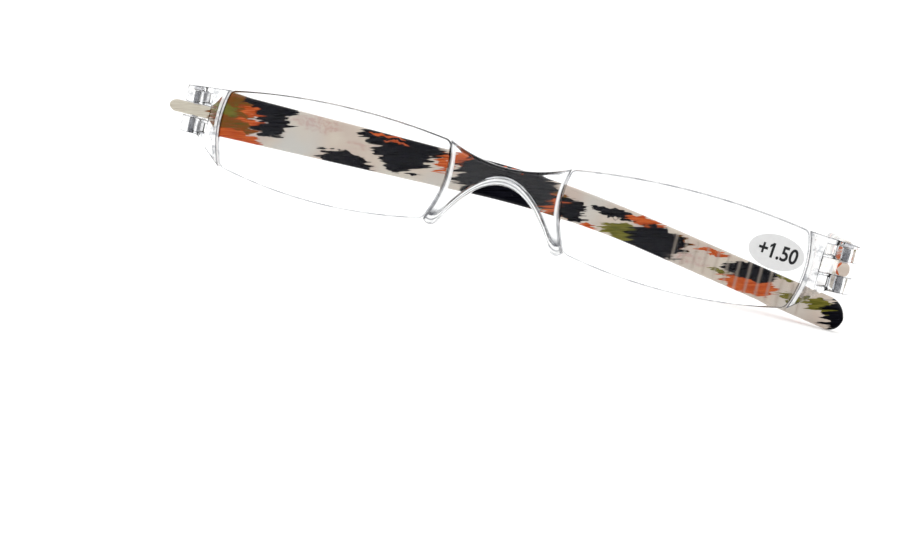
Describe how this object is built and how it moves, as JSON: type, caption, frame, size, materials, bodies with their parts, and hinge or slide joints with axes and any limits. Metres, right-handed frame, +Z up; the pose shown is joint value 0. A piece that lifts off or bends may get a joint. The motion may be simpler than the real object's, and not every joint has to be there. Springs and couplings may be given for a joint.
{
  "type": "folding reading glasses",
  "caption": "Slim reading glasses with a clear rimless front, a moulded saddle bridge and flat printed temples that fold flat behind the lenses on screw hinges.",
  "frame": {"origin": "middle of the bounding box's base, on the surface that the glasses stand on with one temple open", "axes": "+X to the wearer's left, +Y back towards the wearer's ears, +Z up"},
  "size_m": [0.1387, 0.137, 0.0194],
  "materials": {
    "clear_acrylic": "clear polished acrylic",
    "lens": "clear polished acrylic lens",
    "printed_plastic": "glossy plastic with a printed animal pattern in black, orange and olive on cream",
    "screw_steel": "plain steel",
    "label": "satin white film with black numerals"
  },
  "bodies": {
    "front": {"bridge": "clear_acrylic", "left_lens": "lens", "right_lens": "lens", "left_endpiece": "clear_acrylic", "right_endpiece": "clear_acrylic", "left_hinge_screw": "screw_steel", "right_hinge_screw": "screw_steel", "power_label": "label"},
    "left_temple": {"left_temple": "printed_plastic"},
    "right_temple": {"right_temple": "printed_plastic"}
  },
  "joints": [
    {"name": "left_temple_hinge", "type": "hinge", "parent": "front", "child": "left_temple", "pos_m": [-0.064, -0.06191, 0.0117], "axis": [0, 0, 1], "range_deg": [0, 92.2]},
    {"name": "right_temple_hinge", "type": "hinge", "parent": "front", "child": "right_temple", "pos_m": [0.064, -0.06191, 0.0117], "axis": [0, 0, -1], "range_deg": [-84.5, 0]}
  ]
}
